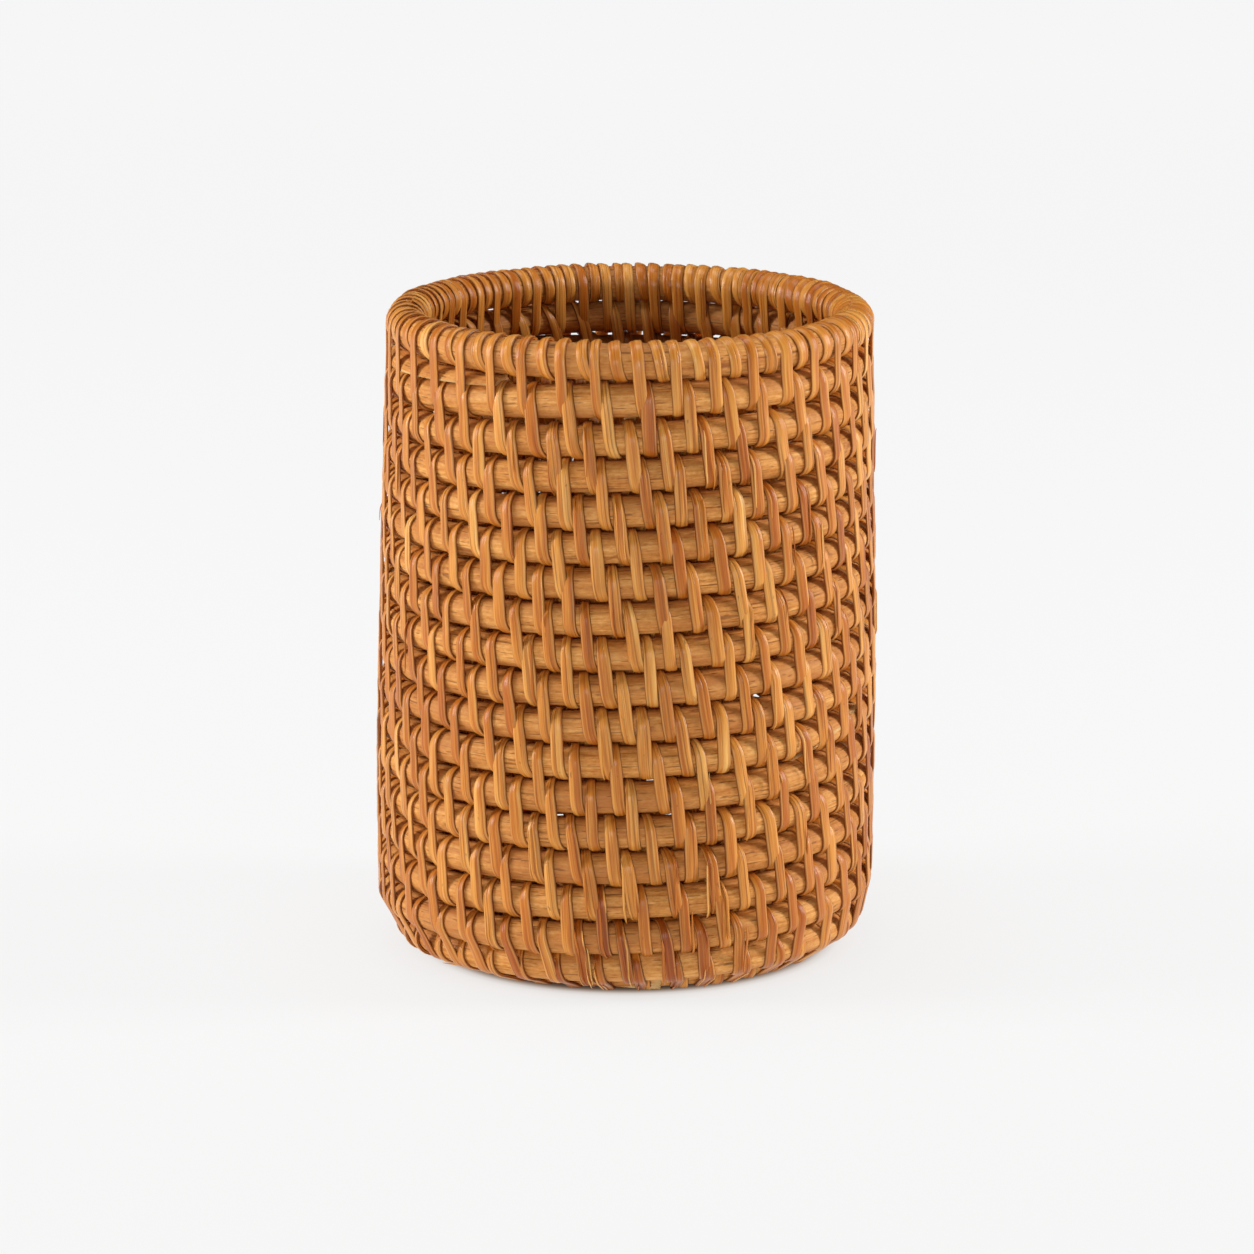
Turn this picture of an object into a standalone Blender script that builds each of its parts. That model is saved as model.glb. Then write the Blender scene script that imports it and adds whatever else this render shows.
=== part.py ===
"""Coiled rattan wastebasket, in metres, +Z up, origin at the centre of the footprint on the floor.

One rattan pole, spliced from several lengths, runs as a flat spiral in the base, turns up round the corner
and climbs the wall as a right-handed helix, one coil height per turn, to a tapered tail under a level rim rod.
Split-cane strands lash each coil to the one below. Here each strand is the closed solid of the groove that it
fills: a waisted band that stands as proud of the poles, inside and outside, as the cane does.
"""

import math

import bmesh
import bpy

# ---------------------------------------------------------------- driving dimensions (metres, degrees)
POLE_R = 0.0075          # radius of the 15 mm core pole
RIM_POLE_R = 0.0082      # the rim rod is a little thicker
CANE_T = 0.00125         # thickness of the split cane
PITCH = 0.01663          # coil to coil, along the wall
HEIGHT = 0.3060          # floor to the top of the rim
BELLY_R = 0.1090         # centreline radius at the widest level
BELLY_Z = 0.075          # that level
BELLY_CURVE = 0.105      # how fast the wall pulls in above and below it, 1/m
CORNER_R = 0.0219        # centreline radius of the turn from base to wall
BASE_Z = POLE_R + CANE_T + 0.00005   # centreline height of the base spiral

STEP = 15.0              # one facet of the coil
STEP_IN = 30.0           # one facet of the tight inner turns
TAIL = 325.0             # unwound angle of the tail tip; 0 is the front of the second coil
SEAM = 265.0             # angle where one turn's strand ends and the next begins
RAMP_FROM, RAMP_TO = 190.0, 377.0    # the last turn gains its whole pitch between these
BLEND_TURNS = 8.0        # turns over which the even helix becomes that last turn
CORNER_AT = -6125.0      # unwound angle where the base spiral starts to turn up
FINE_TO = -6920.0        # inside this angle the facets are STEP_IN long
CENTRE = -7790.0         # unwound angle of the spiral's inner end
POLE_LENGTHS = 5         # lengths of pole in the wall
GAP = 0.00035            # between two pieces that touch

FLAT = 0.953             # half height over radius of a six-sided pole
FAT = 1.10               # corner radius over radius of a six-sided pole

LEVEL_Z = HEIGHT - CANE_T - RIM_POLE_R           # centre of the rim rod
RIM_FLAT = RIM_POLE_R * 1.04 * math.cos(math.radians(30))
COIL_GAP = PITCH - 2 * FLAT * POLE_R
TOP_Z = LEVEL_Z - RIM_FLAT - COIL_GAP            # highest level that the helix reaches


def wall_r(z):
    return BELLY_R - BELLY_CURVE * (z - BELLY_Z) ** 2


ARC = CORNER_R * math.pi / 2
S_TO_Z = BASE_Z + CORNER_R - ARC


def profile(s):
    """Centreline radius, height and section tilt at the distance s up the wall from the foot of the corner."""
    if s < 0:
        return wall_r(BASE_Z) - CORNER_R + s, BASE_Z, math.pi / 2
    if s < ARC:
        a = s / CORNER_R
        z = BASE_Z + CORNER_R * (1 - math.cos(a))
        return wall_r(z) - CORNER_R * (1 - math.sin(a)), z, math.pi / 2 - a
    z = S_TO_Z + s
    return wall_r(z), z, 0.0


S_LEVEL = TOP_Z - FLAT * POLE_R - S_TO_Z


def ramp_turn(angle):
    """Turns climbed by a coil that stays level and gains its whole pitch between RAMP_FROM and RAMP_TO."""
    q = angle - (RAMP_TO - 360)
    k = math.floor(q / 360)
    level = RAMP_FROM - (RAMP_TO - 360)
    return k + max(0.0, (q - 360 * k - level) / (360 - level))


def helix_s(angle):
    b = min(1.0, max(0.0, (angle + 360 * BLEND_TURNS) / (360 * BLEND_TURNS - 35)))
    b = b * b * (3 - 2 * b)
    return S_LEVEL + PITCH * ((1 - b) * angle / 360 + b * ramp_turn(angle))


def pole_r(angle):
    """The pole is thinner where its coils lie closer."""
    if angle > -35:
        near = helix_s(angle) - helix_s(angle - 360)
    else:
        near = (helix_s(angle + 360) - helix_s(angle - 360)) / 2
    return POLE_R * min(1.04, max(0.86, near / PITCH))


def coil(angle):
    """(s of the centre, half height) of the pole, with the long taper of its tail."""
    if angle <= RAMP_FROM:
        return helix_s(angle), FLAT * pole_r(angle)
    top = TOP_Z - S_TO_Z
    s, h = coil(angle - 360)
    half = min(FLAT * POLE_R, (top - (s + h) - COIL_GAP) / 2)
    return top - half, half


def groove(angle):
    """s of the middle of the groove under the coil."""
    s1, h1 = coil(angle)
    s0, h0 = coil(angle - 360)
    return (s1 - h1 + s0 + h0) / 2


def place(s, angle):
    """A point of the basket: angle 0 is the front, and it grows anticlockwise seen from above."""
    r, z, tilt = profile(s)
    a = math.radians(angle)
    return (r * math.sin(a), -r * math.cos(a), z), tilt


def steps(low, high):
    """The facet corners from low to high, ends included; they fall on the same rays in every turn."""
    out, a = [], low
    while a < high - 1e-6:
        out.append(a)
        a += STEP_IN if a < FINE_TO - 1e-6 else STEP
    return out + [high]


# ---------------------------------------------------------------- scene
for ob in list(bpy.data.objects):
    bpy.data.objects.remove(ob, do_unlink=True)

parts = bpy.data.collections.new("rattan_wastebasket")
guides = bpy.data.collections.new("guides")
bpy.context.scene.collection.children.link(parts)
bpy.context.scene.collection.children.link(guides)


def material(name, colour, roughness):
    m = bpy.data.materials.new(name)
    m.use_nodes = True
    b = m.node_tree.nodes["Principled BSDF"]
    b.inputs["Base Color"].default_value = (*colour, 1)
    b.inputs["Roughness"].default_value = roughness
    b.inputs["Metallic"].default_value = 0.0
    m.diffuse_color = (*colour, 1)
    return m


def section(name, points):
    """A closed outline that a curve carries along itself: x points out of the wall, y up it."""
    cu = bpy.data.curves.new(name, "CURVE")
    cu.dimensions = "2D"
    sp = cu.splines.new("POLY")
    sp.points.add(len(points) - 1)
    for p, (x, y) in zip(sp.points, points):
        p.co = (x, y, 0, 1)
    sp.use_cyclic_u = True
    ob = bpy.data.objects.new(name, cu)
    ob.hide_render = True
    ob.display_type = "WIRE"
    guides.objects.link(ob)
    return ob


def rod(name, path, colour, roughness, sides=6, carried=None, closed=False):
    """A poly curve through path, a list of (s, angle, size), as a faceted round pole or with a carried section."""
    cu = bpy.data.curves.new(name, "CURVE")
    cu.dimensions = "3D"
    cu.twist_mode = "Z_UP"
    if carried:
        cu.bevel_mode = "OBJECT"
        cu.bevel_object = carried
    else:
        cu.bevel_depth = 1.0
        cu.bevel_resolution = (sides - 4) // 2
    cu.use_fill_caps = not closed
    sp = cu.splines.new("POLY")
    sp.points.add(len(path) - 1)
    for p, (s, angle, size) in zip(sp.points, path):
        co, tilt = place(s, angle)
        p.co = (*co, 1)
        p.tilt = tilt
        p.radius = size
    sp.use_cyclic_u = closed
    line = bpy.data.objects.new(name + "_line", cu)
    guides.objects.link(line)
    drawn = line.evaluated_get(bpy.context.evaluated_depsgraph_get())
    me = bpy.data.meshes.new_from_object(drawn)
    bpy.data.objects.remove(line)
    bm = bmesh.new()
    bm.from_mesh(me)
    bmesh.ops.remove_doubles(bm, verts=bm.verts, dist=1e-6)
    bmesh.ops.recalc_face_normals(bm, faces=bm.faces)
    bm.to_mesh(me)
    bm.free()
    me.name = name
    me.shade_smooth()
    me.set_sharp_from_angle(angle=math.radians(40))
    ob = bpy.data.objects.new(name, me)
    me.materials.clear()
    me.materials.append(material(name + "_finish", colour, roughness))
    parts.objects.link(ob)
    return ob


# ---------------------------------------------------------------- poles
LAP = (0.70, 0.4875, 0.275)      # a lap splice: each end tapers over the other along two facets


def lapped(points, low_end, high_end):
    """points is [(s, angle, half height, corner radius)]. The low end lies in the bottom of the lap, the high end in its top."""
    out = []
    for i, (s, angle, half, size) in enumerate(points):
        u, side = 1.0, 0
        if low_end and i < 3:
            u, side = LAP[2 - i], -1
        if high_end and i >= len(points) - 3:
            u, side = LAP[i - (len(points) - 3)], 1
        out.append((s + side * (1 - u) * half, angle, u * size))
    return out


def pole(name, low, high, low_end, high_end, colour, sides):
    points = []
    for a in steps(low - (STEP if low_end else 0), high + (STEP if high_end else 0)):
        s, half = coil(a)
        if sides == 6:
            size = FAT * half / FLAT
        else:
            size = pole_r(a)
            half = size
        points.append((s, a, half, size))
    return rod(name, lapped(points, low_end, high_end), colour, 0.62, sides)


TAN = (0.50, 0.27, 0.115)
pole("base_coil", CENTRE, CORNER_AT, False, True, TAN, 8)
for i in range(POLE_LENGTHS):
    span = (TAIL - CORNER_AT) / POLE_LENGTHS
    low = CORNER_AT + span * i
    shade = 1 + 0.06 * math.sin(2.3 * i + 0.7)
    pole(
        f"wall_coil_{i + 1}",
        low,
        low + span,
        True,
        i < POLE_LENGTHS - 1,
        tuple(c * shade for c in TAN),
        8 if i == 0 else 6,
    )

RIM_JOIN = 205.0
rim_points = [
    (LEVEL_Z - S_TO_Z, a, RIM_FLAT, RIM_POLE_R * 1.04)
    for a in steps(RIM_JOIN, RIM_JOIN + 360 + 2 * STEP)
]
rod("rim_rod", lapped(rim_points, True, True), TAN, 0.60, 6)

# ---------------------------------------------------------------- lashings
HONEY = (0.48, 0.215, 0.07)
PROUD = POLE_R + CANE_T + 0.00005


def waisted(name, waist, reach, edge, half_edge=0.0023):
    return section(
        name,
        [
            (edge, half_edge),
            (reach, waist),
            (-reach, waist),
            (-edge, half_edge),
            (-edge, -half_edge),
            (-reach, -waist),
            (reach, -waist),
            (edge, -half_edge),
        ],
    )


wide_band = waisted("groove_section", 0.00070, 0.0040, PROUD)
slim_band = waisted("slim_groove_section", 0.00028, 0.0040, PROUD, 0.0015)
rim_cap = section(
    "rim_cap_section",
    [
        (0.00945, 0.0004),
        (0.0053, RIM_POLE_R + CANE_T),
        (-0.0053, RIM_POLE_R + CANE_T),
        (-0.00945, 0.0004),
        (-0.00900, 0.0004),
        (-0.0047, RIM_FLAT + GAP),
        (0.0047, RIM_FLAT + GAP),
        (0.00900, 0.0004),
    ],
)

ring = steps(SEAM - 360, SEAM)[:-1]
rod("rim_wraps", [(LEVEL_Z - S_TO_Z, a, 1.0) for a in ring], HONEY, 0.38, carried=rim_cap, closed=True)
under_rim = (LEVEL_Z - RIM_FLAT + TOP_Z) / 2 - S_TO_Z
rod("rim_lashing", [(under_rim, a, 1.0) for a in ring], HONEY, 0.38, carried=wide_band, closed=True)

TURNS = 17


def trimmed(low, high):
    """The angles of a strand's facets, its ends cut 1.4 mm short of where the next strand begins."""
    cut = [math.degrees(0.0014 / profile(groove(a))[0]) for a in (low, high)]
    return [min(max(a, low + cut[0]), high - cut[1]) for a in steps(low, high)]


for i in range(TURNS):
    high = SEAM - 360 * i
    low = high - 360
    path = []
    for a in trimmed(low, high):
        path.append((groove(a), a, min(pole_r(a), pole_r(a - 360)) / POLE_R))
    shade = 1 + 0.10 * math.sin(1.7 * i)
    rod(
        f"wall_lashing_{i + 2:02d}",
        path,
        tuple(c * shade for c in HONEY),
        0.38,
        carried=wide_band if low > CORNER_AT + 1290 + 2 * STEP + 360 else slim_band,
    )

wall_end = SEAM - 360 * TURNS
for name, low, high in (
    ("base_lashing_outer", -6620.0, wall_end),
    ("base_lashing_inner", CENTRE + 360, -6620.0),
):
    path = [(groove(a), a, 1.0) for a in trimmed(low, high)]
    rod(name, path, HONEY, 0.38, carried=slim_band)
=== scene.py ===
"""Looks of the coiled rattan wastebasket: round poles with fibre grain, and every stitch of split cane as a real strip."""
import math

import bpy
import numpy as np
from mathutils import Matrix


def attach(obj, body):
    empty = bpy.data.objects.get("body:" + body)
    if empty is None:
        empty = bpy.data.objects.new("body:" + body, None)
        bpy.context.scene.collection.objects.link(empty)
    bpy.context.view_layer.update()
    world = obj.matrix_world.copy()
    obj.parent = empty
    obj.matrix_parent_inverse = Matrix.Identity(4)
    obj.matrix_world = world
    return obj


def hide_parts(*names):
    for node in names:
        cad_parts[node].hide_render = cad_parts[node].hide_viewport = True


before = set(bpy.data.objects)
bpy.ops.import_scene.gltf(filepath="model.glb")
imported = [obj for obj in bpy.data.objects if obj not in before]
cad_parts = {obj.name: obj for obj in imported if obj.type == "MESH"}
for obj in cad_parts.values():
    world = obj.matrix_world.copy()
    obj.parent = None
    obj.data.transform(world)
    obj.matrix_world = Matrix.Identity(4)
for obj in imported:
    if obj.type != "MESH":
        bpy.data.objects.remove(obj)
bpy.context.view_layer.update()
RNG = np.random.default_rng(2207)

# ------------------------------------------------------------------ the coil, as the CAD has it (metres, degrees)
POLE_R, RIM_R, CANE_T = 0.0075, 0.0082, 0.00125
PITCH, HEIGHT = 0.01663, 0.3060
BELLY_R, BELLY_Z, BELLY_CURVE = 0.1090, 0.075, 0.105
CORNER_R = 0.0219
BASE_Z = POLE_R + CANE_T + 0.00005
TAIL, SEAM = 327.0, 265.0
RAMP_FROM, RAMP_TO, BLEND_TURNS = 190.0, 377.0, 8.0
CORNER_AT, CENTRE, POLE_LENGTHS = -6125.0, -7790.0, 5
FLAT = 0.953
LEVEL_Z = HEIGHT - CANE_T - RIM_R
TOP_Z = LEVEL_Z - RIM_R * 1.04 * math.cos(math.radians(30)) - (PITCH - 2 * FLAT * POLE_R)
ARC = CORNER_R * math.pi / 2
S_TO_Z = BASE_Z + CORNER_R - ARC
S_LEVEL = TOP_Z - FLAT * POLE_R - S_TO_Z
THICK = 0.00160                      # of the cane strips, at the crown
TAIL_TOP = S_LEVEL + POLE_R          # top of the tail, in s
LEAN = 0.0029                        # the hand-made wall leans this much to +X from floor to rim

STEP_K = 9.131                       # degrees of turn from one stitch to the next
PHASE = -2160.2                      # unwound angle of one stitch's top


def wall_r(z):
    return BELLY_R - BELLY_CURVE * (z - BELLY_Z) ** 2


def profile(s):
    s = np.asarray(s, float)
    a = np.clip(s / CORNER_R, 0, math.pi / 2)
    z = np.where(s < 0, BASE_Z, np.where(s < ARC, BASE_Z + CORNER_R * (1 - np.cos(a)), S_TO_Z + s))
    r = wall_r(z) - CORNER_R * (1 - np.sin(a)) + np.minimum(s, 0)
    # the made corner is a little squarer than a true quarter circle
    r = r + 0.0022 * np.where(s < 0, np.exp(np.minimum(s, 0) / 0.05), np.exp(-((np.maximum(s, 0) / 0.020) ** 2)))
    return r, z, math.pi / 2 - a


def helix_s(t):
    t = np.asarray(t, float)
    q = t - (RAMP_TO - 360)
    k = np.floor(q / 360)
    level = RAMP_FROM - (RAMP_TO - 360)
    ramp = k + np.clip((q - 360 * k - level) / (360 - level), 0, 1)
    b = np.clip((t + 360 * BLEND_TURNS) / (360 * BLEND_TURNS - 35), 0, 1)
    b = b * b * (3 - 2 * b)
    return S_LEVEL + PITCH * ((1 - b) * t / 360 + b * ramp)


def waves(t, seed, lengths, amp=1.0):
    """A smooth irregular function of the unwound angle."""
    g = np.random.default_rng(seed)
    out = 0
    for length in lengths:
        f = g.uniform(0.8, 1.25) / length
        out = out + np.sin(2 * math.pi * (np.asarray(t, float) * f + g.uniform())) * g.uniform(0.6, 1.0)
    return amp * out / len(lengths)


def pole_r(t):
    t = np.asarray(t, float)
    up = helix_s(np.minimum(t + 360, 0 * t + 400))
    near = np.where(t > -35, helix_s(t) - helix_s(t - 360), (up - helix_s(t - 360)) / 2)
    r = POLE_R * np.clip(near / PITCH, 0.86, 1.04)
    return r * (0.968 + waves(t, 11, (420, 133, 61), 0.012))


def coil(t):
    """(s of the centre, half size out of the wall, half size up it, circle radius) of the pole."""
    t = np.asarray(t, float)
    ease = np.exp(-(((t + 12) / 26) ** 2))
    behind = 0.10 * np.exp(-(((t + 180) / 75) ** 2)) + 0.04 * np.exp(-(((t + 540) / 75) ** 2))
    behind = behind + 0.05 * np.exp(-(((t - 135) / 45) ** 2))
    r = pole_r(t) * (1 + 0.06 * ease + behind)
    s = helix_s(t) + waves(t, 5, (170, 77, 41), 0.00018) + 0.0014 * ease
    s = s + 0.0006 * np.clip((t - 10) / 50, 0, 1)
    thick = TAIL_TOP - (helix_s(t - 360) + pole_r(t - 360)) - 0.0009
    thick = np.where(t > RAMP_FROM, np.clip(thick, 0.0006, 2 * r), 2 * r)
    s = np.where(t > RAMP_FROM, TAIL_TOP - thick / 2, s)
    wide = np.where(thick < r, np.sqrt(np.maximum(r**2 - (r - thick) ** 2, 1e-9)), r)
    return s, np.where(t > RAMP_FROM, wide, r), thick / 2, r


def bulge(t):
    """How far the pole's line stands out of the true wall."""
    return waves(t, 3, (260, 95, 47), 0.00035) + 0.0004 * np.exp(-(((np.asarray(t, float) + 5950) / 220) ** 2))


def rays(t):
    a = np.radians(t)
    er = np.stack([np.sin(a), -np.cos(a), 0 * a], -1)
    eb = np.stack([np.cos(a), np.sin(a), 0 * a], -1)
    return er, eb


EZ = np.array([0.0, 0.0, 1.0])


def leaning(p):
    p = p.copy()
    p[..., 0] += LEAN * (p[..., 2] / HEIGHT - 0.5)
    return p


# ------------------------------------------------------------------ mesh building
def mesh_of(name, verts, quads, caps, attrs):
    me = bpy.data.meshes.new(name)
    verts = np.asarray(verts, np.float32)
    loops = [np.asarray(quads, np.int32).ravel()]
    totals = [np.full(len(quads), 4, np.int32)]
    for c in caps:
        loops.append(np.asarray(c, np.int32))
        totals.append(np.array([len(c)], np.int32))
    loops, totals = np.concatenate(loops), np.concatenate(totals)
    me.vertices.add(len(verts))
    me.vertices.foreach_set("co", verts.ravel())
    me.loops.add(len(loops))
    me.loops.foreach_set("vertex_index", loops)
    me.polygons.add(len(totals))
    starts = np.concatenate([[0], np.cumsum(totals)[:-1]]).astype(np.int32)
    me.polygons.foreach_set("loop_start", starts)
    me.polygons.foreach_set("loop_total", totals)
    me.update(calc_edges=True)
    me.polygons.foreach_set("use_smooth", np.ones(len(totals), bool))
    for key, value in attrs.items():
        value = np.asarray(value, np.float32)
        kind = "FLOAT_VECTOR" if value.ndim == 2 else "FLOAT"
        a = me.attributes.new(key, kind, "POINT")
        a.data.foreach_set("vector" if value.ndim == 2 else "value", value.ravel())
    me.update()
    ob = bpy.data.objects.new(name, me)
    bpy.context.scene.collection.objects.link(ob)
    return ob


def sweep(name, centre, across, out, x, y, attrs, closed=False):
    """Rings of the outline (x across, y out) carried along centre; attrs hold (rings, points[, 3]) arrays."""
    k, m = x.shape
    verts = centre[:, None] + across[:, None] * x[..., None] + out[:, None] * y[..., None]
    verts = leaning(verts).reshape(-1, 3)
    verts[:, 2] = np.maximum(verts[:, 2], 0.00006)     # strips under the base are pressed flat by the floor
    i = np.arange(k if closed else k - 1)[:, None]
    j = np.arange(m)[None]
    i2, j2 = (i + 1) % k, (j + 1) % m
    quads = np.stack([i * m + j, i2 * m + j, i2 * m + j2, i * m + j2], -1).reshape(-1, 4)
    caps = [] if closed else [list(range(m)), list(range((k - 1) * m, k * m))[::-1]]
    # the outline may run either way: the volume says which
    a, b, c = verts[quads[:, 0]], verts[quads[:, 1]], verts[quads[:, 2]]
    d = verts[quads[:, 3]]
    vol = (np.cross(a, b) * c).sum() + (np.cross(a, c) * d).sum()
    if vol < 0:
        quads = quads[:, ::-1]
        caps = [cap[::-1] for cap in caps]
    flat = {key: v.reshape(-1, 3) if v.ndim == 3 else v.reshape(-1) for key, v in attrs.items()}
    return mesh_of(name, verts, quads, caps, flat)


# ------------------------------------------------------------------ poles
SIDES = 28
ANG = np.linspace(0, 2 * math.pi, SIDES, endpoint=False)
LAP = 30.0


def pole(name, low, high, low_lap, high_lap, step=2.5, rim=False, closed=False):
    lo, hi = low - (LAP / 2 if low_lap else 0), high + (LAP / 2 if high_lap else 0)
    t = np.linspace(lo, hi, max(8, int((hi - lo) / step)) + 1)
    if closed:
        t = t[:-1]
    if rim:
        s = 0 * t + LEVEL_Z - S_TO_Z + waves(t, 21, (180, 90, 60), 0.0002)
        circle = RIM_R * (1 + waves(t, 22, (120, 72, 40), 0.014))
        cut_tail = None
    else:
        s, _, half, circle = coil(t)
        tail = t > RAMP_FROM
        cut_tail = np.where(tail, circle - 2 * half, -1.0)     # underside pared away, up from the circle's centre
        s = np.where(tail, TAIL_TOP - circle, s)
    r, z, tilt = profile(s)
    er, eb = rays(t)
    n = np.cos(tilt)[:, None] * er - np.sin(tilt)[:, None] * EZ
    up = np.sin(tilt)[:, None] * er + np.cos(tilt)[:, None] * EZ
    c = (r)[:, None] * er + z[:, None] * EZ + bulge(t)[:, None] * n
    length = np.concatenate([[0], np.cumsum(np.linalg.norm(np.diff(c, axis=0), axis=1))])
    # flutes and dents of a peeled pole, and the low rings of its joints
    a = ANG[None]
    turn = waves(t, 31, (600, 250), 1.2)[:, None]
    shape = 1 + 0.006 * np.sin(3 * a + turn) + 0.005 * np.sin(5 * a - 2 * turn) + 0.004 * np.sin(9 * a + 3 * turn)
    shape = shape + 0.004 * np.sin(7 * a + waves(t, 33, (35, 21, 12), 4)[:, None])
    g = np.random.default_rng(abs(int(low)) + 17)
    at = g.uniform(0.05, 0.16)
    while at < length[-1]:
        skew = g.uniform(-0.0012, 0.0012)
        dist = length[:, None] - at - skew * np.sin(a + at * 40)
        shape = shape + 0.020 * np.exp(-((dist / 0.0042) ** 2)) - 0.012 * np.exp(-(((dist - 0.0048) / 0.0015) ** 2))
        at += g.uniform(0.16, 0.30)
    x = circle[:, None] * shape * np.cos(a)
    y = circle[:, None] * shape * np.sin(a)
    pared = np.zeros_like(y)
    ends = []
    if low_lap:
        ends.append((t - lo, -1))
    if high_lap:
        ends.append((hi - t, 1))
    for dist, side in ends:
        inside = dist < LAP
        cut = (1 - np.clip(dist / LAP, 0, 1)) * 2.0 - 1.0          # -1 whole .. +1 nothing left
        cut = cut * circle * 0.985 + 0.00008
        limit = np.where(inside, cut, -1.0)[:, None]
        if side > 0:
            pared = np.where(y < limit, 1.0, pared)
            y = np.maximum(y, limit)
        else:
            pared = np.where(-y < limit, 1.0, pared)
            y = np.minimum(y, -limit)
    if cut_tail is not None:
        limit = cut_tail[:, None]
        pared = np.where(y < limit, 1.0, pared)
        y = np.maximum(y, limit)
    grain = np.stack([length[:, None] + 0 * x + low * 0.01, 0.0085 * np.cos(a) + 0 * x, 0.0085 * np.sin(a) + 0 * x], -1)
    return sweep(name, c, n, up, x, y, {"grain": grain, "pared": pared}, closed=closed)


poles = {"base_coil": pole("pole_base", CENTRE, CORNER_AT, False, True, 3.5)}
for i in range(POLE_LENGTHS):
    span = (TAIL - CORNER_AT) / POLE_LENGTHS
    lo = CORNER_AT + span * i
    poles[f"wall_coil_{i + 1}"] = pole(f"pole_wall_{i + 1}", lo, lo + span, True, i < POLE_LENGTHS - 1)
poles["rim_rod"] = pole("pole_rim", 205, 595, False, False, rim=True)


# ------------------------------------------------------------------ cane strips
def outline(width, thick, ridge, phase):
    """Domed skin with low ribs above, flat pith side below. All inputs (rings,)."""
    v = np.array([-1.0, -0.93, -0.74, -0.50, -0.24, 0.03, 0.30, 0.56, 0.79, 0.95, 1.0, 0.6, -0.6])
    top = -0.25 + 0.75 * np.sqrt(np.maximum(1 - v**2, 0)) ** 0.68
    top[-2:] = -0.5
    skin = np.clip((1 - v**2) * 3, 0, 1)
    skin[-2:] = 0
    rib = skin * np.cos(8.3 * v[None] + phase[:, None])
    x = 0.5 * width[:, None] * v[None]
    y = thick[:, None] * top[None] + ridge[:, None] * rib
    return x, y, np.broadcast_to(v[None], x.shape)


def smooth_step(x):
    return x * x * (3 - 2 * x)


def loop_grid():
    """One loop round two poles: which pole, the angle on it, and the share of the way, from the top down outside and up inside."""
    q = 6
    arc = np.linspace(0, 1, q, endpoint=False)
    out = []
    for k in arc:
        out.append((0, 90 - 90 * k, 0))
    for k in (0.0, 0.25, 0.5, 0.75):
        out.append((2, 0, k))
    for k in arc:
        out.append((1, -90 * k, 0))
    for k in arc:
        out.append((1, -90 - 90 * k, 0))
    for k in (0.0, 0.25, 0.5, 0.75):
        out.append((3, 180, k))
    for k in arc:
        out.append((0, 180 - 90 * k, 0))
    return out


LOOP = loop_grid()
RING = [(0, 90 - 15 * k, 0) for k in range(24)]          # one turn round a single pole


def circle_at(kind, t):
    """(radius, height) of the pole's centre and its half sizes, for kind 0 the coil at t, -1 the coil below it, 1 the rim."""
    if kind == "rim":
        s = 0 * t + LEVEL_Z - S_TO_Z + waves(t, 21, (180, 90, 60), 0.0002)
        rn = RIM_R * (1 + waves(t, 22, (120, 72, 40), 0.014))
        rt = rn
    else:
        s, rn, rt, _ = coil(t + kind)
    r, z, tilt = profile(s)
    b = bulge(t if kind == "rim" else t + kind)
    r = r + b * np.cos(tilt)
    z = z - b * np.sin(tilt)
    return np.stack([r, z], -1), rn, rt


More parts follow.
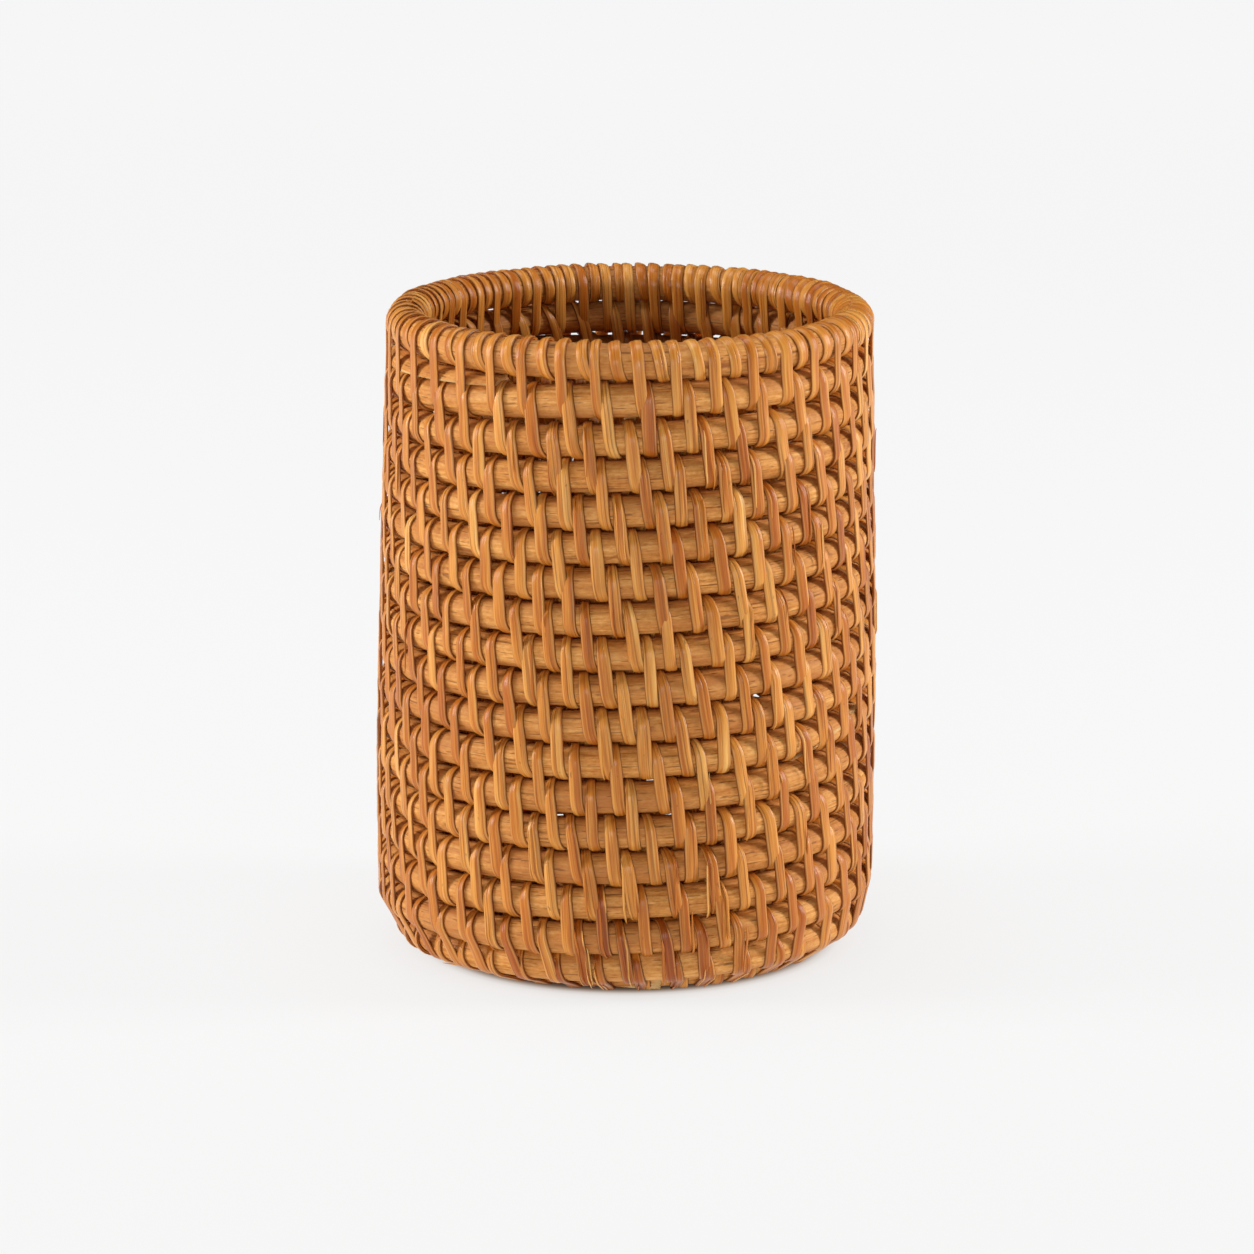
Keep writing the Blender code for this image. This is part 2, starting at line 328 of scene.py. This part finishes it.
def strand(name, stitches, seed, width=0.0061, dark=0.0, neck=0.27, heavy=1.0):
    """stitches: list of dicts with a (top angle), b (bottom angle), c (next top angle), up, low (kinds), in order."""
    g = np.random.default_rng(seed)
    ts, kinds, angs, shares, stitch, place = [], [], [], [], [], []
    for k, st in enumerate(stitches):
        loop = RING if st["up"] == st["low"] else LOOP
        # distance run along the loop, roughly, to spread the sideways travel
        w = np.array([1.0 if kind in (0, 1) else 1.35 for kind, _, _ in loop])
        run = np.concatenate([[0], np.cumsum(w)[:-1]])
        half = sum(w[: len(loop) // 2])
        x_out = np.clip(run / half, 0, 1)
        x_in = np.clip((run - half) / half, 0, 1)
        bow = st.get("bow", 0.3)
        ts.append(st["a"] + (st["b"] - st["a"]) * ((1 - bow) * x_out + bow * x_out**2)
                  + (st["c"] - st["b"]) * (0.5 * x_in + 0.5 * smooth_step(x_in)))
        kinds += [l[0] for l in loop]
        angs += [l[1] for l in loop]
        shares += [l[2] for l in loop]
        stitch += [k] * len(loop)
        place += list(run / sum(w))
    t = np.concatenate(ts)
    count = len(stitches)
    # soften the turns in the grooves
    pad = np.concatenate([t[:1].repeat(3), t, t[-1:].repeat(3)])
    kernel = np.array([1, 3, 5, 6, 5, 3, 1.0]); kernel /= kernel.sum()
    t = np.convolve(pad, kernel, "valid")
    kind, ang, share = np.array(kinds), np.radians(angs), np.array(shares)
    stitch, place = np.array(stitch), np.array(place)
    mids = np.array([np.flatnonzero(stitch == k).mean() - 0.22 * (stitch == k).sum() for k in range(count)])
    cu, run_, rut = np.zeros((len(t), 2)), np.zeros(len(t)), np.zeros(len(t))
    cl, rln, rlt = np.zeros((len(t), 2)), np.zeros(len(t)), np.zeros(len(t))
    for key, c, rn, rt in (("up", cu, run_, rut), ("low", cl, rln, rlt)):
        for value in {s[key] for s in stitches}:
            mask = np.array([s[key] == value for s in stitches])[stitch]
            got = circle_at(value, t[mask])
            c[mask], rn[mask], rt[mask] = got
    single = np.array([s["up"] == s["low"] for s in stitches])[stitch]
    axis = cu - cl
    dist = np.linalg.norm(axis, axis=1)
    axis = np.where(single[:, None], [[0.0, 1.0]], axis / np.maximum(dist, 1e-9)[:, None])
    mm = np.stack([axis[:, 1], -axis[:, 0]], -1)
    # per stitch wishes, carried smoothly along the strand
    def carry(low, high):
        return np.interp(np.arange(len(t)), mids, g.uniform(low, high, count))
    # each strip comes over the pole narrow, half on its edge, and lies down flat and wide as it goes on
    over = np.cos(2 * math.pi * place) * 0.5 + 0.5
    narrow = 1 - neck * over**6 - 0.10 * np.where(place > 0.5, 1, 0) * (1 - over)
    wide = carry(0.88, 1.12) * narrow
    thick = heavy * THICK * carry(0.88, 1.10) * (1 + 0.12 * over**4)
    roll = np.radians(carry(-9, 9) + 13 * over**3)
    lift = carry(0.00000, 0.00030)
    off = thick / 2 - 0.00022 + lift * np.where(np.sin(ang) > -0.2, 1, 0.3)
    ru_n, ru_t, rl_n, rl_t = run_ + off, rut + off, rln + off, rlt + off
    up_pt = cu + (ru_n * np.cos(ang))[:, None] * mm + (ru_t * np.sin(ang))[:, None] * axis
    lo_pt = cl + (rl_n * np.cos(ang))[:, None] * mm + (rl_t * np.sin(ang))[:, None] * axis
    side = np.where(kind == 2, 1.0, -1.0)
    top_side = cu + (side * ru_n)[:, None] * mm
    low_side = cl + (side * rl_n)[:, None] * mm
    w = np.where(kind == 2, share, 1 - share)[:, None]
    mid = top_side * (1 - w) + low_side * w
    sag = carry(0.00005, 0.00045) * np.where(single, 0, 1) * np.sin(math.pi * share)
    mid = mid - (side * sag)[:, None] * mm
    rz = np.where((kind == 0)[:, None], up_pt, np.where((kind == 1)[:, None], lo_pt, mid))
    er, eb = rays(t)
    p = rz[:, :1] * er + rz[:, 1:] * EZ
    # drop samples that fall on each other (a loop round a single pole has no straight side)
    keep = np.concatenate([[True], np.linalg.norm(np.diff(p, axis=0), axis=1) > 0.0002])
    p, t, eb, er = p[keep], t[keep], eb[keep], er[keep]
    wide, thick, roll, stitch, place = wide[keep], thick[keep], roll[keep], stitch[keep], place[keep]
    # even the points out a little
    q = p.copy()
    q[1:-1] = 0.5 * p[1:-1] + 0.25 * (p[:-2] + p[2:])
    tan = np.gradient(q, axis=0)
    tan /= np.linalg.norm(tan, axis=1)[:, None]
    across = eb - (eb * tan).sum(1)[:, None] * tan
    across /= np.linalg.norm(across, axis=1)[:, None]
    out = np.cross(tan, across)
    across, out = (
        across * np.cos(roll)[:, None] + out * np.sin(roll)[:, None],
        out * np.cos(roll)[:, None] - across * np.sin(roll)[:, None],
    )
    run = np.concatenate([[0], np.cumsum(np.linalg.norm(np.diff(q, axis=0), axis=1))])
    x, y, v = outline(
        width * wide,
        thick,
        0.00007 + 0.00003 * np.sin(run * 90 + seed),
        1.7 * np.sin(run * 13 + seed) + 0.9 * stitch % 6.0,
    )
    extra = np.array([st.get("dark", 0.0) for st in stitches])
    tones = np.clip(g.normal(0.43, 0.095, count) + 0.14 * (g.uniform(0, 1, count) < 0.06) + dark + extra, 0.24, 0.88)
    tone = tones[stitch]
    rnd = g.uniform(0, 1, count)[stitch]
    flat = 0 * x
    strip = np.stack([run[:, None] + flat + seed * 3.1, 0.5 * width * v, rnd[:, None] * 9 + flat], -1)
    return sweep(name, q, across, out, x, y, {"strip": strip, "tone": tone[:, None] + flat, "edge": v + flat})


def jitter(t, seed, amp):
    """The same stitch is moved the same way wherever it is asked for."""
    k = np.round((np.asarray(t, float) - PHASE) / STEP_K).astype(int) + 5000
    g = np.random.default_rng(seed).normal(0, 1, 9000)
    return float(np.clip(g[k], -2, 2) * amp)


def row_stitches(low, high):
    """The stitches of one turn: upper coil from low to high, lower coil a turn behind."""
    k0, k1 = math.ceil((low - PHASE) / STEP_K), math.floor((high - PHASE) / STEP_K)
    out = []
    for k in range(k0, k1 + 1):
        t = PHASE + k * STEP_K
        a = t + jitter(t, 71, 0.56)
        around = (t + 180) % 360 - 180
        lean = 2.55 + 1.9 * float(np.clip((abs(around) + around) / 130, 0, 1)) + 0.5 * float(np.clip(-(t + 4500) / 1300, 0, 1))
        lean += jitter(t, 72, 0.74)
        nxt = t + STEP_K + jitter(t + STEP_K, 71, 0.56)
        # the lowest rows in front were worked with redder, rougher cane
        red = 0.0
        if t < 3 - 360 * 14 and abs(around) < 26:
            red = max(0.0, 0.16 + jitter(t, 73, 0.20))
        out.append({"a": a, "b": a + lean, "c": nxt, "up": 0, "low": -360, "dark": red})
    return out


strands = []
TURNS = 17
for i in range(TURNS):
    high = SEAM - 360 * i
    st = row_stitches(high - 360 + 0.5, high - 0.5)
    ob = strand(f"cane_row_{i + 2:02d}", st, 100 + i, dark=0.05 if i >= 14 else 0.0)
    strands.append((ob, [f"wall_lashing_{i + 2:02d}"]))

# base: the stitches spread as the turns get tighter
for name, low, high in (("base_lashing_outer", -6620.0, SEAM - 360 * TURNS), ("base_lashing_inner", CENTRE + 360, -6620.0)):
    st, t = [], high - 4.0
    while t > low + 3:
        r = float(profile(helix_s(t) - PITCH / 2)[0])
        step = max(STEP_K, math.degrees(0.0150 / max(r, 0.012)))
        st.append((t, step))
        t -= step
    st = st[::-1]
    made = []
    for k, (t, step) in enumerate(st):
        nxt = st[k + 1][0] if k + 1 < len(st) else t + step
        made.append({"a": t, "b": t + 0.27 * step, "c": nxt, "up": 0, "low": -360})
    ob = strand(name.replace("base_lashing", "cane_base"), made, 300 + len(strands))
    strands.append((ob, [name]))

# rim: a long stitch round the rim rod and the coil below, then a short wrap round the rim rod alone
st = []
t0 = SEAM - 360 + 3.0
first = 1.3 - STEP_K * math.floor((1.3 - t0) / STEP_K)
tops = [first]
while tops[-1] < SEAM - 4:        # worked closer round the back
    tops.append(tops[-1] + STEP_K * (1 - 0.24 * float(np.clip((tops[-1] - 75) / 30, 0, 1))))
for t, after in zip(tops[:-1], tops[1:]):
    fit = (after - t) / STEP_K
    a = t + jitter(t, 81, 0.45)
    nxt = after + jitter(after, 81, 0.45)
    sa = a + 4.65 * fit + jitter(t, 82, 0.35)
    sb = sa + 2.7 * fit + jitter(t, 83, 0.4)
    st.append({"a": a, "b": a + 2.2 + jitter(t, 84, 0.3), "c": sa, "up": "rim", "low": 0, "bow": 0.6})
    st.append({"a": sa, "b": sb, "c": nxt, "up": "rim", "low": "rim", "bow": 0.6})
strands.append((strand("cane_rim", st, 401, width=0.0057, neck=-0.02, heavy=0.92), ["rim_wraps", "rim_lashing"]))


# splinters: slivers split off a few strips, lying along them or standing a little off
def splinters(name, list_, seed):
    g = np.random.default_rng(seed)
    verts, quads, caps, strip, tone, edge = [], [], [], [], [], []
    base = 0
    m = 6
    for t0, lean, shift, w, lo, hi, stand in list_:
        x = np.linspace(lo, hi, 14)
        t = t0 + lean * x + shift
        up, un, ut = circle_at(0, t)
        dn, dnn, dnt = circle_at(-360, t)
        axis = up - dn
        axis /= np.linalg.norm(axis, axis=1)[:, None]
        mm = np.stack([axis[:, 1], -axis[:, 0]], -1)
        # down the upper pole, across the groove, round the lower one
        a = np.where(x < 0.42, (0.42 - x) / 0.42 * 88, np.where(x > 0.58, -(x - 0.58) / 0.42 * 88, 0))
        a = np.radians(a)
        end = np.abs(2 * (x - lo) / (hi - lo) - 1) ** 4
        off = THICK + 0.0002 + stand * end
        k = np.clip((x - 0.42) / 0.16, 0, 1)[:, None]
        c = up * (1 - k) + dn * k
        rn = ((un + off) * (1 - k[:, 0]) + (dnn + off) * k[:, 0]) * np.cos(a)
        rt = ((ut + off) * (1 - k[:, 0]) + (dnt + off) * k[:, 0]) * np.sin(a)
        rz = c + rn[:, None] * mm + rt[:, None] * axis
        er, eb = rays(t)
        p = rz[:, :1] * er + rz[:, 1:] * EZ
        tan = np.gradient(p, axis=0)
        tan /= np.linalg.norm(tan, axis=1)[:, None]
        across = eb - (eb * tan).sum(1)[:, None] * tan
        across /= np.linalg.norm(across, axis=1)[:, None]
        out = np.cross(tan, across)
        q = np.linspace(0, 2 * math.pi, m, endpoint=False)
        taper = np.clip(1.15 * np.sin(math.pi * np.linspace(0.03, 0.97, 14)) ** 0.5, 0.15, 1)
        vx = 0.5 * w * taper[:, None] * np.cos(q)
        vy = 0.00033 * taper[:, None] * np.sin(q)
        v = p[:, None] + across[:, None] * vx[..., None] + out[:, None] * vy[..., None]
        v = leaning(v).reshape(-1, 3)
        v[:, 2] = np.maximum(v[:, 2], 0.00006)
        verts.append(v)
        i = np.arange(13)[:, None]
        j = np.arange(m)[None]
        one = np.stack([i * m + j, (i + 1) * m + j, (i + 1) * m + (j + 1) % m, i * m + (j + 1) % m], -1).reshape(-1, 4)
        a_, b_, c_, d_ = (verts[-1][one[:, n]] for n in range(4))
        middle = verts[-1].mean(0)
        vol = (np.cross(a_ - middle, b_ - middle) * (c_ - middle)).sum() + (np.cross(a_ - middle, c_ - middle) * (d_ - middle)).sum()
        ends = [list(range(m)), list(range(13 * m, 14 * m))[::-1]]
        if vol < 0:
            one = one[:, ::-1]
            ends = [e[::-1] for e in ends]
        quads.append(one + base)
        caps += [[n + base for n in e] for e in ends]
        run = np.repeat(x * 0.03 + t0, m)
        strip.append(np.stack([run, np.tile(np.cos(q) * 0.0005, 14), 0 * run + g.uniform(0, 9)], -1))
        tone.append(np.full(14 * m, g.uniform(0.05, 0.75)))
        edge.append(np.zeros(14 * m))
        base += 14 * m
    return mesh_of(name, np.concatenate(verts), np.concatenate(quads), caps,
                   {"strip": np.concatenate(strip), "tone": np.concatenate(tone), "edge": np.concatenate(edge)})


slivers = []
for _ in range(100):
    turn = int(RNG.integers(0, 17))
    front = RNG.uniform(0, 1) < 0.35
    around = RNG.uniform(-50, 50) if front else RNG.uniform(-180, 180)
    k = round((around - 360 * turn - PHASE) / STEP_K)
    t = PHASE + k * STEP_K
    if t > SEAM - 364 and turn == 0 or t < SEAM - 360 * TURNS + 8:
        continue
    lo = RNG.uniform(0.03, 0.5)
    slivers.append((t + jitter(t, 71, 0.56), 2.7, RNG.choice([-1, 1]) * RNG.uniform(0.6, 1.35), RNG.uniform(0.0005, 0.0012),
                    lo, min(0.92, lo + RNG.uniform(0.25, 0.6)), RNG.uniform(0.0, 0.0007)))
for _ in range(26):     # the rough place low in front
    turn = int(RNG.integers(13, 17))
    around = RNG.uniform(-14, 26)
    k = round((around - 360 * turn - PHASE) / STEP_K)
    t = PHASE + k * STEP_K
    if t < SEAM - 360 * TURNS + 8:
        continue
    lo = RNG.uniform(0.03, 0.45)
    slivers.append((t + jitter(t, 71, 0.56), 2.9 + RNG.normal(0, 0.6), RNG.choice([-1, 1]) * RNG.uniform(0.5, 1.6), RNG.uniform(0.0006, 0.0013),
                    lo, min(0.94, lo + RNG.uniform(0.3, 0.7)), RNG.uniform(0.0002, 0.0014)))
splinter_piece = splinters("cane_splinters", slivers, 77)


# ------------------------------------------------------------------ materials
def nodes_of(name):
    m = bpy.data.materials.new(name)
    m.use_nodes = True
    tree = m.node_tree
    return m, tree, tree.nodes["Principled BSDF"]


def add(tree, kind, **values):
    n = tree.nodes.new(kind)
    for key, v in values.items():
        if key.startswith("in_"):
            n.inputs[key[3:].replace("_", " ")].default_value = v
        else:
            setattr(n, key, v)
    return n


def ramp(tree, fac, stops):
    n = tree.nodes.new("ShaderNodeValToRGB")
    el = n.color_ramp.elements
    while len(el) < len(stops):
        el.new(0.5)
    for e, (pos, col) in zip(el, stops):
        e.position = pos
        e.color = (*col, 1) if len(col) == 3 else col
    tree.links.new(fac, n.inputs["Fac"])
    return n.outputs["Color"]


def mix(tree, fac, a, b, blend="MIX"):
    n = tree.nodes.new("ShaderNodeMix")
    n.data_type, n.blend_type = "RGBA", blend
    for sock, v in ((n.inputs[0], fac), (n.inputs[6], a), (n.inputs[7], b)):
        if isinstance(v, (int, float, tuple)):
            sock.default_value = (*v, 1) if isinstance(v, tuple) else v
        else:
            tree.links.new(v, sock)
    return n.outputs[2]


def math_(tree, op, a, b=None, clamp=False):
    n = tree.nodes.new("ShaderNodeMath")
    n.operation, n.use_clamp = op, clamp
    for sock, v in zip(n.inputs, (a, b)):
        if v is None:
            continue
        if isinstance(v, (int, float)):
            sock.default_value = v
        else:
            tree.links.new(v, sock)
    return n.outputs[0]


def noise(tree, vec, scale, detail=3.0, rough=0.55, distortion=0.0):
    n = add(tree, "ShaderNodeTexNoise", in_Scale=scale, in_Detail=detail, in_Roughness=rough, in_Distortion=distortion)
    tree.links.new(vec, n.inputs["Vector"])
    return n.outputs["Fac"]


def stretched(tree, vec, sx, sy, sz):
    n = tree.nodes.new("ShaderNodeVectorMath")
    n.operation = "MULTIPLY"
    n.inputs[1].default_value = (sx, sy, sz)
    tree.links.new(vec, n.inputs[0])
    return n.outputs[0]


def attribute(tree, name, which="Vector"):
    n = tree.nodes.new("ShaderNodeAttribute")
    n.attribute_name = name
    return n.outputs[which]


def pole_material():
    m, tree, bsdf = nodes_of("peeled_rattan_pole")
    g = attribute(tree, "grain")
    fibre = noise(tree, stretched(tree, g, 30, 620, 620), 1.0, 3, 0.62)
    broad = noise(tree, stretched(tree, g, 9, 150, 150), 1.0, 3, 0.5)
    patch = noise(tree, stretched(tree, g, 14, 60, 60), 1.0, 2, 0.5)
    mottle = noise(tree, stretched(tree, g, 420, 700, 700), 1.0, 2, 0.6)
    tint = math_(tree, "ADD", math_(tree, "MULTIPLY", fibre, 0.46), math_(tree, "MULTIPLY", broad, 0.36))
    tint = math_(tree, "ADD", tint, math_(tree, "MULTIPLY", mottle, 0.30))
    col = ramp(tree, tint, [
        (0.33, (0.31, 0.088, 0.012)),
        (0.46, (0.51, 0.182, 0.034)),
        (0.57, (0.66, 0.280, 0.064)),
        (0.72, (0.86, 0.46, 0.150)),
    ])
    col = mix(tree, ramp(tree, patch, [(0.42, (0, 0, 0)), (0.75, (0.8, 0.8, 0.8))]), col, (0.46, 0.160, 0.040), "MIX")
    # short dark pores along the fibre
    pores = noise(tree, stretched(tree, g, 120, 900, 900), 1.0, 1, 0.5)
    pore = ramp(tree, pores, [(0.64, (0, 0, 0)), (0.72, (1, 1, 1))])
    col = mix(tree, math_(tree, "MULTIPLY", pore, 0.60), col, (0.15, 0.042, 0.009))
    # long checks: thin dark lines
    lines = noise(tree, stretched(tree, g, 22, 560, 560), 1.0, 1.0, 0.5)
    line = ramp(tree, lines, [(0.27, (1, 1, 1)), (0.32, (0, 0, 0))])
    col = mix(tree, math_(tree, "MULTIPLY", line, 0.60), col, (0.13, 0.036, 0.008))
    # red-brown stains
    stain = noise(tree, stretched(tree, g, 26, 70, 70), 1.0, 4, 0.6, 0.6)
    st_ = ramp(tree, stain, [(0.64, (0, 0, 0)), (0.72, (1, 1, 1))])
    col = mix(tree, math_(tree, "MULTIPLY", st_, 0.65), col, (0.22, 0.052, 0.012))
    # the odd eye of a cut side shoot
    eye = add(tree, "ShaderNodeTexVoronoi", in_Scale=1.0, in_Randomness=1.0)
    tree.links.new(stretched(tree, g, 15, 42, 42), eye.inputs["Vector"])
    near = ramp(tree, eye.outputs["Distance"], [(0.030, (0.9, 0.9, 0.9)), (0.045, (0.25, 0.25, 0.25)), (0.060, (0.8, 0.8, 0.8)), (0.085, (0, 0, 0))])
    col = mix(tree, near, col, (0.20, 0.060, 0.014))
    # pared faces are paler, fresh wood
    col = mix(tree, attribute(tree, "pared", "Fac"), col, mix(tree, fibre, (0.60, 0.36, 0.13), (0.80, 0.56, 0.26)))
    tree.links.new(col, bsdf.inputs["Base Color"])
    rough = math_(tree, "ADD", math_(tree, "MULTIPLY", fibre, 0.25), 0.50)
    tree.links.new(rough, bsdf.inputs["Roughness"])
    bsdf.inputs["Specular IOR Level"].default_value = 0.22
    height = math_(tree, "ADD", math_(tree, "MULTIPLY", fibre, 1.0), math_(tree, "MULTIPLY", lines, 0.9))
    height = math_(tree, "SUBTRACT", height, math_(tree, "MULTIPLY", pore, 0.5))
    height = math_(tree, "ADD", height, math_(tree, "MULTIPLY", mottle, 0.6))
    b = add(tree, "ShaderNodeBump", in_Strength=0.6, in_Distance=0.00032)
    tree.links.new(height, b.inputs["Height"])
    tree.links.new(b.outputs["Normal"], bsdf.inputs["Normal"])
    return m


def cane_material():
    m, tree, bsdf = nodes_of("split_cane")
    g = attribute(tree, "strip")
    tone = attribute(tree, "tone", "Fac")
    edge = attribute(tree, "edge", "Fac")
    fibre = noise(tree, stretched(tree, g, 26, 1150, 1.0), 1.0, 3, 0.65)
    broad = noise(tree, stretched(tree, g, 18, 300, 1.0), 1.0, 2, 0.5)
    tint = math_(tree, "ADD", math_(tree, "MULTIPLY", math_(tree, "SUBTRACT", fibre, 0.5), 0.95), tone)
    tint = math_(tree, "ADD", tint, math_(tree, "MULTIPLY", math_(tree, "SUBTRACT", broad, 0.5), 0.9), clamp=True)
    col = ramp(tree, tint, [
        (0.0, (0.88, 0.48, 0.130)),
        (0.28, (0.70, 0.282, 0.046)),
        (0.52, (0.52, 0.156, 0.015)),
        (0.78, (0.40, 0.092, 0.005)),
        (1.0, (0.27, 0.050, 0.002)),
    ])
    grooves = noise(tree, stretched(tree, g, 9, 900, 1.0), 1.0, 0.5, 0.5)
    groove = ramp(tree, grooves, [(0.31, (1, 1, 1)), (0.40, (0, 0, 0))])
    col = mix(tree, math_(tree, "MULTIPLY", groove, 0.50), col, (0.22, 0.055, 0.007))
    # painted highlight: the shoulders are paler; painted shade: the very edge is dark
    side = math_(tree, "ABSOLUTE", edge)
    # painted highlight: a pale band along both shoulders of each strip
    painted_edge_highlight = ramp(tree, side, [(0.62, (0, 0, 0)), (0.78, (1, 1, 1)), (0.90, (0.6, 0.6, 0.6)), (0.96, (0, 0, 0))])
    col = mix(tree, math_(tree, "MULTIPLY", painted_edge_highlight, 0.40), col, (0.86, 0.46, 0.135))
    # painted shade: the very edge of each strip is darkened
    rim = math_(tree, "POWER", side, 10.0)
    col = mix(tree, math_(tree, "MULTIPLY", rim, 0.85), col, (0.13, 0.028, 0.004))
    spots = noise(tree, stretched(tree, g, 220, 420, 5.0), 1.0, 2, 0.5)
    spot = ramp(tree, spots, [(0.70, (0, 0, 0)), (0.76, (1, 1, 1))])
    col = mix(tree, math_(tree, "MULTIPLY", spot, 0.5), col, (0.16, 0.05, 0.018))
    tree.links.new(col, bsdf.inputs["Base Color"])
    rough = math_(tree, "ADD", math_(tree, "MULTIPLY", fibre, 0.26), 0.20)
    tree.links.new(rough, bsdf.inputs["Roughness"])
    bsdf.inputs["Specular IOR Level"].default_value = 0.32
    bsdf.inputs["Coat Weight"].default_value = 0.04
    bsdf.inputs["Coat Roughness"].default_value = 0.25
    height = math_(tree, "SUBTRACT", math_(tree, "ADD", fibre, math_(tree, "MULTIPLY", broad, 0.8)), math_(tree, "MULTIPLY", groove, 0.9))
    b = add(tree, "ShaderNodeBump", in_Strength=0.7, in_Distance=0.00030)
    tree.links.new(height, b.inputs["Height"])
    tree.links.new(b.outputs["Normal"], bsdf.inputs["Normal"])
    return m


POLE_MAT, CANE_MAT = pole_material(), cane_material()
for node, ob in poles.items():
    ob.data.materials.append(POLE_MAT)
    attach(ob, "root")
    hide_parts(node)
for ob, names in strands:
    ob.data.materials.append(CANE_MAT)
    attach(ob, "root")
    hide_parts(*names)
splinter_piece.data.materials.append(CANE_MAT)
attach(splinter_piece, "root")

# ------------------------------------------------------------------ stage, light, camera
bpy.ops.mesh.primitive_plane_add(size=14, location=(0, 1.5, 0))
floor = bpy.context.object
floor.name = "floor"
fm, ft, fb = nodes_of("pale_floor")
fb.inputs["Base Color"].default_value = (0.10, 0.10, 0.10, 1)
fb.inputs["Roughness"].default_value = 0.9
fb.inputs["Specular IOR Level"].default_value = 0.1
where = ft.nodes.new("ShaderNodeNewGeometry")
parts = ft.nodes.new("ShaderNodeSeparateXYZ")
ft.links.new(where.outputs["Position"], parts.inputs[0])
along = math_(ft, "DIVIDE", math_(ft, "ADD", parts.outputs["Y"], 1.0), 7.0, clamp=True)
GLOW = ((-1.0, 0.805), (-0.35, 0.815), (0.25, 0.827), (0.7, 0.840), (1.33, 0.860), (3.1, 0.902), (5.5, 0.908))
glow = ramp(ft, along, [((y + 1.0) / 7.0, (e, e, e)) for y, e in GLOW])
flat_ = ft.nodes.new("ShaderNodeCombineXYZ")
ft.links.new(parts.outputs["X"], flat_.inputs[0])
ft.links.new(parts.outputs["Y"], flat_.inputs[1])
gone = ft.nodes.new("ShaderNodeVectorMath")
gone.operation = "LENGTH"
ft.links.new(flat_.outputs[0], gone.inputs[0])
# painted contact shadow: the floor's glow falls to a dark, warm brown in a tight ring round the base
painted_contact_shadow = ramp(ft, math_(ft, "MULTIPLY", gone.outputs["Value"], 2.5, clamp=True), [
    (0.087 * 2.5, (0.05, 0.030, 0.020)), (0.091 * 2.5, (0.15, 0.10, 0.070)), (0.094 * 2.5, (0.44, 0.37, 0.32)),
    (0.097 * 2.5, (0.77, 0.73, 0.70)), (0.101 * 2.5, (0.93, 0.915, 0.90)), (0.109 * 2.5, (0.972, 0.967, 0.962)),
    (0.13 * 2.5, (0.99, 0.987, 0.984)), (0.20 * 2.5, (1, 1, 1))])
ft.links.new(mix(ft, 1.0, glow, painted_contact_shadow, "MULTIPLY"), fb.inputs["Emission Color"])
fb.inputs["Emission Strength"].default_value = 1.0
floor.data.materials.append(fm)

world = bpy.data.worlds.new("studio")
bpy.context.scene.world = world
world.use_nodes = True
bg = world.node_tree.nodes["Background"]
bg.inputs["Color"].default_value = (1.0, 1.0, 1.0, 1)
bg.inputs["Strength"].default_value = 0.06


def area(name, where, look, size, power, colour=(1, 1, 1)):
    light = bpy.data.lights.new(name, "AREA")
    light.shape, light.size, light.size_y = "RECTANGLE", size[0], size[1]
    light.energy, light.color = power, colour
    ob = bpy.data.objects.new(name, light)
    ob.location = where
    d = np.array(look, float) - np.array(where, float)
    from mathutils import Vector
    ob.rotation_euler = Vector(d).to_track_quat("-Z", "Y").to_euler()
    bpy.context.scene.collection.objects.link(ob)


area("key_left", (-2.15, -0.13, 0.92), (0, 0, 0.15), (0.8, 1.5), 46.5)
area("key_right", (2.1, -0.02, 0.85), (0, 0, 0.15), (0.6, 1.4), 46.5)
area("front", (-0.4, -2.7, 0.50), (0, 0, 0.12), (0.9, 0.5), 21)
area("top", (-0.2, 0.1, 2.3), (0, 0, 0.2), (1.1, 1.1), 18)

cam_data = bpy.data.cameras.new("camera")
cam = bpy.data.objects.new("camera", cam_data)
bpy.context.scene.collection.objects.link(cam)
cam_data.sensor_width = 36.0
cam_data.lens = 5498.07 / 1254 * 36.0
cam.location = (0.0, -2.51802, 0.74627)
cam.rotation_euler = (math.pi / 2 - 0.23241, 0, 0)
cam_data.clip_end = 100
bpy.context.scene.camera = cam
bpy.context.scene.view_settings.view_transform = "Standard"
